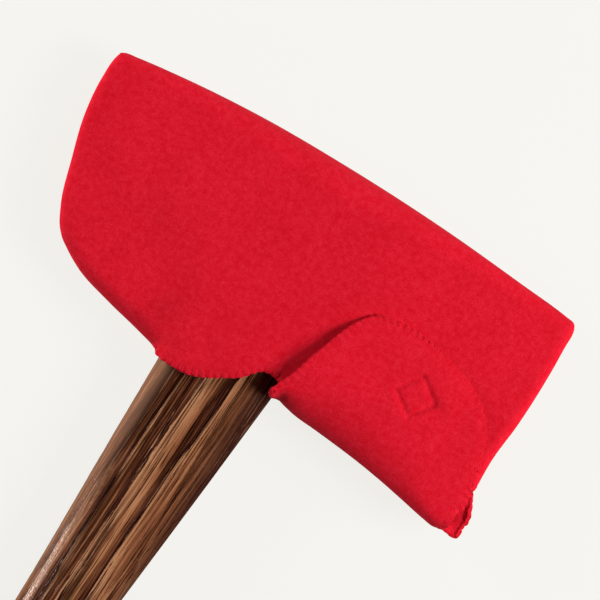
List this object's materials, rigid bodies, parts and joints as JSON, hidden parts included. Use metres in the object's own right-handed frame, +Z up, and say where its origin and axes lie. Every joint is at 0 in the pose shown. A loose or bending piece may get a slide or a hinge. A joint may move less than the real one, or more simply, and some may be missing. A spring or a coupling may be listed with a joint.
{
  "type": "felling axe",
  "caption": "Double-bit felling axe with a straight tapering wooden handle, its head sleeved in a red felt pocket cover that a rounded flap closes with a hook-and-loop pad.",
  "frame": {"origin": "centre of the handle's flat sawn butt face", "axes": "+Y along the handle towards the head, +X from the left bit to the right bit, +Z up through the thickness as the axe lies on its side, with the flap of the cover on top"},
  "size_m": [0.2979, 0.9302, 0.0433],
  "materials": {
    "head_steel": "forged scale on the cheeks, ground bright at both bits",
    "handle_wood": "scorched grain under a glossy oil finish",
    "wedge_wood": "sawn hardwood",
    "wedge_steel": "plain steel",
    "felt": "thick matt red wool felt",
    "thread": "red overlock thread",
    "loop_tape": "red loop tape",
    "hook_tape": "red hook tape"
  },
  "bodies": {
    "axe": {"axe_head": "head_steel", "handle": "handle_wood", "wooden_wedge": "wedge_wood", "steel_wedge": "wedge_steel"},
    "cover": {"cover_front_panel": "felt", "cover_back_panel": "felt", "left_heel_wall": "felt", "flap_gusset": "felt", "seam_thread": "thread", "mouth_edge_stitch": "thread", "back_mouth_edge_stitch": "thread", "loop_pad": "loop_tape", "loop_pad_stitch": "thread"},
    "flap": {"closing_flap": "felt", "flap_edge_stitch": "thread", "hook_pad": "hook_tape", "hook_pad_stitch": "thread"}
  },
  "joints": [
    {"name": "cover_pull", "type": "slide", "parent": "axe", "child": "cover", "axis": [0, 1, 0], "range_m": [0, 0.13], "deforming": ["left_heel_wall", "seam_thread"]},
    {"name": "flap_open", "type": "hinge", "parent": "cover", "child": "flap", "pos_m": [0.037, 0.8083, 0.0206], "axis": [0.9891, -0.1016, -0.1061], "range_deg": [0, 165], "deforming": ["flap_gusset"]}
  ]
}
